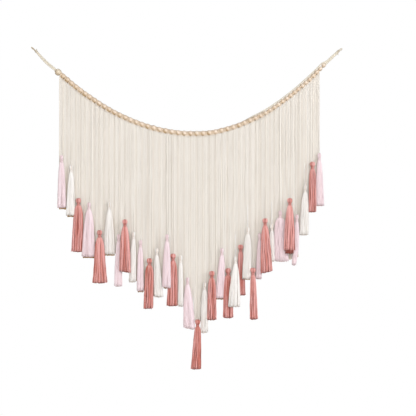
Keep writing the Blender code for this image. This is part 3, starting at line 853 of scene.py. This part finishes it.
def headYarns(plan, around, count):
    # the yarns come down over the head from its top, with a crease where they were folded
    depths = np.array(tassel["headDepths"]) * mm
    reaches = np.array(tassel["headRadii"][plan["yarn"]]) * mm
    turned = 2.0 * math.pi * around[:, None] + 0.0 * depths
    creaseAt = -math.pi / 2 + dice.uniform(-0.6, 0.6)
    off = np.angle(np.exp(1j * (turned - creaseAt)))
    crease = np.exp(-(off / tassel["creaseWidth"]) ** 2)
    reach = reaches * (1.0 - tassel["creaseDepth"] * crease) * (1.0 + dice.normal(0.0, 0.03, (count, 1)))
    path = np.stack([plan["head"][0] + reach * np.cos(turned), plan["head"][1] + reach * np.sin(turned),
                     np.broadcast_to(plan["top"] - depths, turned.shape)], axis=-1)
    girth = 2.0 * math.pi * reaches / count * 0.62
    radius = np.clip(girth, 0.3 * mm, tassel["yarnRadius"]) * np.ones((count, 1))
    neck = tassel["neckShades"][plan["yarn"]] * ease((depths / mm - 9.0) / 5.0)
    return path, radius, tassel["creaseShade"] * crease + neck


def skirtYarns(plan, layer, inwards, crowd):
    yarn = plan["yarn"]
    shares = np.array(tassel["skirtShares"])
    top, head, foot = plan["top"], plan["head"], plan["foot"]
    halfWidth = plan["half"] - tassel["yarnRadius"]
    halfDepth = tassel["halfDepth"] - tassel["yarnRadius"]
    rimLength = math.pi * (3 * (halfWidth + halfDepth)
                           - math.sqrt((3 * halfWidth + halfDepth) * (halfWidth + 3 * halfDepth)))
    count = int(rimLength / tassel["yarnApart"] * crowd)
    middles, edges, bunch = clumpsOf(count, tassel["clumpSizes"][yarn])
    place = np.arange(count) + dice.normal(0.0, 0.12, count)
    clump = middles + dice.normal(0.0, 0.1, count)
    start = dice.uniform()
    uneven = dice.uniform(0.3, 1.3, bunch.max() + 1)[bunch][:, None]
    pull = tassel["clumpPulls"][yarn] * uneven * shares ** 0.6
    spot = (place[:, None] + (clump - place)[:, None] * pull) / count + start
    middle, wide, flare = skirtAt(plan, shares)
    even = 2.0 * math.pi * spot
    angle = even + (ellipseAngles(halfWidth, halfDepth, spot) - even) * flare
    tuck = (tassel["clumpTucks"][yarn] * uneven * (edges ** 2)[:, None]
            + 0.06 * np.abs(dice.normal(size=(count, 1)))) * flare
    wide = (wide - tassel["yarnRadius"] * flare) * (1.0 + tassel["hemSpread"] * shares ** 5)
    wide = wide * (1.0 - tassel["hemNarrows"].get(plan["name"], 0.0) * shares ** 4)
    deep = plan["neck"] + (halfDepth - plan["neck"]) * flare
    phase = dice.uniform(0.0, 2.0 * math.pi, (count, 2))
    waves = dice.uniform(2.0, 4.5, (count, 1))
    drift = tassel["wander"] * np.sqrt(shares)
    bunchPhase = dice.uniform(0.0, 6.28, bunch.max() + 1)[bunch][:, None]
    bunchWaves = dice.uniform(0.7, 1.8, bunch.max() + 1)[bunch][:, None]
    bunchDrift = tassel["bunchWander"][yarn] * shares * (1.15 - shares)
    swing = bunchDrift * 2.6 * np.sin(bunchPhase + 6.28 * bunchWaves * shares)
    x = (middle + wide * inwards * (1.0 - 0.35 * tuck) * np.cos(angle) + swing * np.abs(np.sin(angle))
         + drift * np.sin(phase[:, :1] + 6.28 * waves * shares))
    x = x + tassel["hemShifts"].get(plan["name"], 0.0) * shares ** 4
    y = (head[1] + deep * inwards * (1.0 - tuck) * np.sin(angle)
         + drift * np.sin(phase[:, 1:] + 6.28 * waves * shares))
    ends = top - tassel["neckDepth"] - plan["hem"]
    ends = ends + dice.normal(0.0, tassel["uneven"], count) - tassel["uneven"]
    ends = ends + tassel["slants"].get(plan["name"], 0.0) * (x[:, -1] - foot[0]) / halfWidth
    ends = ends - tassel["shorter"].get(plan["name"], 0.0) * (layer == 0)
    back = np.clip((y[:, -1] - foot[1]) / halfDepth, 0.0, 1.0)
    ends = ends + tassel["insideLonger"] * (np.maximum(back, 0.75 * (layer > 0)) - 0.75)
    z = top - tassel["neckDepth"] - ends[:, None] * shares
    path = np.stack([x, y, z], axis=-1)
    radius = tassel["yarnRadius"] * (0.62 + 0.38 * np.sqrt(shares)) * np.ones((count, 1))
    bunchTone = dice.normal(0.0, tassel["bunchTones"][yarn], bunch.max() + 1)[bunch]
    tone = np.clip(0.55 + bunchTone + dice.normal(0.0, tassel["yarnTones"][yarn], count), 0.0, 1.0)
    tone = tone[:, None] * np.ones(len(shares))
    # painted shade: on the back and inner yarns at the hem, on the bunches' edges in the grooves, and on the
    # inner layers
    hidden = np.maximum(back[:, None], 0.9 * (layer > 0)) * (shares > 0.97) * 0.4
    hidden = hidden + tassel["clumpShades"][yarn] * (edges ** 2)[:, None] * flare
    hidden = hidden + (0.1 + tassel["clumpShades"][yarn]) * (layer > 0)
    if layer == 0:
        over, headRadius, crease = headYarns(plan, place / count + start, count)
        path = np.concatenate([over, path], axis=1)
        radius = np.concatenate([headRadius, radius], axis=1)
        tone = np.concatenate([tone[:, :1] * np.ones(over.shape[1]), tone], axis=1)
        hidden = np.concatenate([crease, hidden], axis=1)
    return sweep(path, radius, tassel["sides"], tone, np.clip(hidden, 0.0, 1.0))


def tasselBunches(plan):
    layers = ((1.0, 1.0), (0.72, 0.62), (0.38, 0.34))
    bunches = [skirtYarns(plan, layer, *spread) for layer, spread in enumerate(layers)]
    # the neck is bound with the same yarn
    head, top = plan["head"], plan["top"]
    share = np.linspace(0.0, 1.0, tassel["wrapTurns"] * 12)
    angle = 2.0 * math.pi * tassel["wrapTurns"] * share + dice.uniform(0.0, 6.3)
    wrapTop, wrapFoot = tassel["wrapDepths"]
    depth = wrapTop + (wrapFoot - wrapTop) * share
    wrapRadius = plan["neck"] + tassel["wrapOut"]
    around = np.stack([head[0] + wrapRadius * np.cos(angle),
                       head[1] + wrapRadius * np.sin(angle), top - depth], axis=-1)
    bunches.append(sweep(around[None], tassel["wrapYarn"], 6, 0.6, tassel["neckShades"][plan["yarn"]]))
    core = np.array([[head[0], head[1], top - depth * mm] for depth in tassel["coreDepths"]])
    coreRadii = np.interp(tassel["coreDepths"], tassel["headDepths"], tassel["headRadii"][plan["yarn"]]) - 1.0
    # with painted shade on the filling, as it lies inside the head
    bunches.append(sweep(core[None], coreRadii[None] * mm, 10, 0.3, 0.3))
    return bunches


def threadOf(plan):
    # the thread a tassel hangs on: out from between the strings, down their front, and forward to its head
    share = np.linspace(-0.08, 1.04, 40)
    forward = ease((share - tassel["threadHugs"]) / (1.0 - tassel["threadHugs"]))
    lies = plan["threadY"] + tassel["threadBehind"]
    dive = tassel["threadDives"] * ease((0.03 - share) / 0.1)
    y = lies + (plan["head"][1] - lies) * forward + dive
    up = plan["top"] + tassel["threadLength"] * (1.0 - share)
    path = np.stack([np.full(len(share), plan["head"][0]), y, up], axis=-1)
    if plan["name"] != tassel["coiledThread"]:
        seen = plan["name"] in tassel["whiteThreads"]
        return [rope(path, tassel["whiteThreadRadius" if seen else "threadRadius"], tassel["threadPitch"],
                     plies=2, sides=6, tone=1.0 if seen else 0.6)]
    spot = np.linspace(0.0, 1.0, 150)
    turn = 2.0 * math.pi * tassel["coils"] * spot
    even = np.linspace(0.0, 1.0, len(share))
    coil = np.stack([np.interp(spot, even, path[:, axis]) for axis in range(3)], axis=-1)
    coil[:, 0] += tassel["coilReach"] * np.cos(turn)
    coil[:, 1] += tassel["coilReach"] * np.sin(turn)
    return [sweep(coil[None], tassel["coilThread"], 7, 0.9)]


tasselNames = sorted(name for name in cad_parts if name.startswith("tassel_"))
plans = [planOf(name, yarnNames[letter]) for name, letter in zip(tasselNames, yarnOrder)]
creamThreads = []
for plan in plans:
    bunches = tasselBunches(plan)
    if plan["name"] in tassel["whiteThreads"]:
        bunches += threadOf(plan)
    else:
        creamThreads += threadOf(plan)
    strandPiece("yarn_" + plan["name"], bunches, plan["yarn"], (plan["name"],))
strandPiece("hanging_threads", creamThreads, "cream")
print("tassels are bound:", len(plans))


# the string curtain
strings = {
    "spacing": 2.75 * mm,            # from string to string in each of the two layers
    "left": -370 * mm,
    "right": 384 * mm,
    "fullness": 0.975,               # a string's thickness beside its room
    "loopRadius": 1.1 * mm,
    "layerY": (-1.4 * mm, 1.4 * mm),     # the front and the back layer
    "innerReach": 4.4 * mm,          # how far out from the cord's middle the strings go over it
    "outerReach": 5.7 * mm,
    "closerAtRight": 1.1 * mm,       # there the loops keep under the second cord
    # the steps of a string's way over the cord, in degrees from its top, in the front and the back layer
    "loopAngles": ((-112, -85, -58, -30, 0, 30, 58, 85), (72, 95)),
    "loopShades": (0.75, 0.5),       # behind the cord and over it
    # three steps below the cord, in millimetres, and how far the strings have spread there under the beads
    "underDepths": (3.4, 6.2, 9.4),
    "underSpreads": ((0.4, 0.75, 0.97), (0.6, 0.95, 1.0)),
    "underForwards": (0.86, 0.62, 0.38),
    "underShades": (0.5, 0.28, 0.08),
    "settlesOver": 28 * mm,          # the drop in which it comes to its place
    "loosensOver": 50 * mm,          # and in which its drift begins
    "bundleRound": 0.5 * mm,         # how far the middle of a bundle stands forward
    "bundleGap": 0.08 * mm,
    "bundleEdge": 0.06,              # painted shade on its outer strings, in the grooves between bundles
    "lowShade": 0.17,                # and painted shade on all of them, between the tassels, in the shadows they cast
    "lowShadeFrom": 30 * mm,         # below the head's top
    "lowShadeOver": 50 * mm,
    "sunkenShare": 0.04,
    "sunkenDepth": 0.7 * mm,
    "drift": 0.28 * mm,
    "runSteps": 13,
    "endSteps": (8.0, 4.0, 1.6, 0.0),        # the last steps above its end, in millimetres and the painted shade there, in the shadow below the hems
    "endShades": (0.3, 0.8, 1.0, 1.0),       # and how brown it is there
    "pastHem": 3.2 * mm,
    "showing": (1, 2, 4, 6, 10, 13, 20, 24),     # the tassels below whose hems the strings' ends show
    "shortOfHem": 7 * mm,
    "lowEnds": {"tassel_30": 17 * mm},           # these strings show further below the hem
    "highEnds": {"tassel_31": 24 * mm},          # and these are well hidden above it
    "longest": "tassel_17",
    "longestWidth": 18.5 * mm,
    "longestDraws": (75 * mm, 40 * mm),          # from the head's top, where its strings draw together
    "behindHead": 8 * mm,
    "sides": 6,
}
headPlaces = [plan["head"][0] for plan in plans]
halfways = [(low + high) / 2 for low, high in zip(headPlaces, headPlaces[1:])]
columnEdges = np.array([strings["left"], *halfways, strings["right"]])


def softNoise(x, z, seed, scaleX, scaleZ):
    # a smooth bump field from a few crossing waves
    wave = np.random.default_rng(seed)
    total = 0.0
    for _ in range(5):
        kx, kz = wave.normal(0.0, 1.0 / scaleX), wave.normal(0.0, 1.0 / scaleZ)
        total = total + np.sin(2.0 * math.pi * (kx * x + kz * z) + wave.uniform(0.0, 6.3))
    return total / 2.5


def covers(plan, x, height):
    neck = plan["top"] - tassel["neckDepth"]
    share = min(max((neck - height) / (neck - plan["hem"]), 0.0), 1.0)
    middle, half, _ = skirtAt(plan, share)
    return abs(x - middle) < half - 1.5 * mm


def stringEnd(x, column):
    # a string ends just below its tassel's hem, or hidden behind a skirt that hangs lower
    own = plans[column]
    if own["name"] == strings["longest"]:
        return own["top"] - strings["behindHead"], 0.0
    if own["name"] in strings["lowEnds"]:
        return own["hem"] - strings["lowEnds"][own["name"]] + dice.normal() * mm, 0.1
    near = plans[max(column - 1, 0):column + 1] if x < own["head"][0] else plans[column:column + 2]
    level = max(plan["hem"] for plan in near)
    holders = [plan for plan in near if covers(plan, x, max(level, plan["hem"]))]
    if not holders:
        return level + dice.uniform(1.0, 4.0) * mm, 0.5
    holder = own if any(plan is own for plan in holders) else holders[0]
    if plans.index(holder) + 1 in strings["showing"]:
        return holder["hem"] - strings["pastHem"] + dice.normal(0.0, 0.5) * mm, 1.0
    short = strings["highEnds"].get(holder["name"], strings["shortOfHem"])
    return min(holder["hem"] + short + dice.uniform(-3.0, 3.0) * mm, level), 0.5


def gapStrings(gap):
    # how many strings hang from this place between two beads, and the width they take
    width = (joints[gap + 1][0] - joints[gap - 1][0]) / 2
    return max(int(round(width / strings["spacing"])), 3), width


def stringPaths(layer):
    lastGap = len(joints) - 3
    gap, lane, width = [], [], []
    for index in range(1, lastGap + 1):
        number, room = gapStrings(index)
        gap += [index] * number
        lane += list(np.linspace(-1.0, 1.0, number))
        width += [room] * number
    gap, lane, width = np.array(gap), np.array(lane), np.array(width)
    count = len(gap)
    girth = strings["fullness"] * width / np.bincount(gap)[gap] / 2
    halfSpan = width / 2 - girth - strings["bundleGap"]
    # the back bundles close the front ones' gaps
    bundle = joints[gap][:, 0] + (width / 2 if layer else 0.0)
    rest = bundle + lane * halfSpan + dice.normal(0.0, 0.12 * mm, count)
    rest = np.clip(rest, strings["left"] + girth, strings["right"] - girth)
    column = np.clip(np.searchsorted(columnEdges, rest) - 1, 0, len(plans) - 1)
    ends, endShade = np.array([stringEnd(*spot) for spot in zip(rest, column)]).T

    # over the cord: from behind, over the top and down in front, between two beads
    joint = joints[gap]
    along = unit(joints[gap + 1] - joints[gap - 1])
    up = np.stack([-along[:, 2], np.zeros(count), along[:, 0]], axis=-1)
    out = np.array([0.0, 1.0 if layer else -1.0, 0.0])
    room = (beadSteps[gap - 1] - beadLengths[gap - 1] + beadSteps[gap] - beadLengths[gap]) / 2
    inner = np.arange(count) % 2
    offset = lane * (room / 2 + np.where(inner, 0.2 * mm, 1.0 * mm)) + dice.normal(0.0, 0.12 * mm, count)
    reach = np.where(inner, strings["innerReach"], strings["outerReach"])
    reach = reach + dice.normal(0.0, 0.15 * mm, count)
    reach = reach - strings["closerAtRight"] * (joint[:, 0] > swag["topCordRises"][1] * mm)
    parts, loopShade = [], []
    shadeBehind, shadeOver = strings["loopShades"]
    for angle in np.radians(strings["loopAngles"][layer]):
        parts.append(joint + along * offset[:, None]
                     + up * (reach * math.cos(angle))[:, None] + out * (reach * math.sin(angle))[:, None])
        loopShade.append(shadeBehind if angle < math.radians(-70) else shadeOver)
    # below the cord they spread at once to their places under the beads
    away = ((rest - joint[:, 0]) / along[:, 0])[:, None]
    for down, spread, forward, dark in zip(strings["underDepths"], strings["underSpreads"][layer],
                                           strings["underForwards"], strings["underShades"]):
        under = joint + along * (away * spread) + out * (reach * forward)[:, None]
        under[:, 2] -= down * mm / along[:, 0]
        parts.append(under)
        loopShade.append(dark)
    loop = np.stack(parts, axis=1)

    # then straight down to its end
    start = loop[:, -1:, 2] - 4.0 * mm
    stop = ends[:, None] + 12.0 * mm
    run = start + (stop - start) * np.linspace(0.0, 1.0, strings["runSteps"])
    z = np.concatenate([run, ends[:, None] + np.array(strings["endSteps"]) * mm], axis=1)
    settle = ease((start - z) / strings["settlesOver"] + 0.35)
    x = loop[:, -1:, 0] + (rest[:, None] - loop[:, -1:, 0]) * settle
    y = np.full_like(x, strings["layerY"][layer])
    loose = ease((start - z) / strings["loosensOver"])
    x = x + loose * (strings["drift"] * softNoise(bundle[:, None], z, 3 + layer, 0.05, 0.4)
                     + 0.15 * mm * softNoise(rest[:, None], z, 7 + layer, 0.004, 0.3))
    forward = strings["bundleRound"] * (0.45 - lane ** 2)[:, None]
    forward = forward + strings["drift"] * softNoise(bundle[:, None], z, 11 + layer, 0.03, 0.6)
    forward = forward - (strings["sunkenDepth"] * (dice.random(count) < strings["sunkenShare"]))[:, None]
    y = y + out[1] * loose * (forward - 0.15 * mm)

    # the longest tassel's strings draw together above it
    high, low = strings["longestDraws"]
    for index in np.flatnonzero([plans[c]["name"] == strings["longest"] for c in column]):
        plan = plans[column[index]]
        full = columnEdges[column[index] + 1] - columnEdges[column[index]]
        drawn = ease((plan["top"] + high - z[index]) / (high - low))
        slim = 1.0 + (strings["longestWidth"] / full - 1.0) * drawn
        x[index] = plan["head"][0] + (x[index] - plan["head"][0]) * slim
        y[index] += drawn * (0.7 if inner[index] else -0.7) * mm

    path = np.concatenate([loop, np.stack([x, y, z], axis=-1)], axis=1)
    radius = girth[:, None] * np.ones(path.shape[:2])
    radius[:, :loop.shape[1]] = strings["loopRadius"]
    radius = radius * dice.normal(1.0, 0.03, (count, 1))
    radius[:, -1] *= 0.85
    bundleTone = dice.normal(0.0, 0.1, len(joints))[gap]
    tone = np.clip(0.5 + bundleTone + dice.normal(0.0, 0.06, count), 0.0, 1.0)[:, None]
    neck = np.array([plans[c]["top"] for c in column])[:, None] - strings["lowShadeFrom"]
    # painted shade: a little on the back layer and on each bundle's outer strings, and more between the
    # tassels
    shade = 0.07 * layer + strings["bundleEdge"] * (lane ** 4)[:, None]
    shade = shade + strings["lowShade"] * ease((neck - z) / strings["lowShadeOver"])
    # painted shadow at the strings' ends, just below the hems that cast it
    paintedShade = np.array([0.0] * strings["runSteps"] + list(strings["endShades"]))
    shade = shade + endShade[:, None] * paintedShade
    shade = np.concatenate([np.broadcast_to(loopShade, loop.shape[:2]), shade], axis=1)
    hang = float(np.mean(loop[:, -1, 2] - ends))
    shade = np.clip(shade, 0.0, 1.0)
    return sweep(path, radius, strings["sides"], np.broadcast_to(tone, radius.shape), shade), hang


def hangStrings():
    longest = next(plan for plan in plans if plan["name"] == strings["longest"])
    under = np.interp(longest["head"][0], joints[:, 0], joints[:, 2])
    deepest = under - longest["top"] + strings["behindHead"]
    for layer, name in enumerate(("strings_front", "strings_back")):
        bunch, hang = stringPaths(layer)
        piece = strandPiece(name, [bunch], "cream", ("string_curtain",))
    return deepest


print("strings are hung, the longest", round(float(hangStrings()), 3), "m")


def listed(corners):
    return [[float(value) for value in corner] for corner in corners]


triangles = {}
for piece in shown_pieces():
    piece.data.calc_loop_triangles()
    triangles[piece.name] = len(piece.data.loop_triangles)
print("triangles:", sum(triangles.values()), "in all, at most", max(triangles.values()), "in a piece")
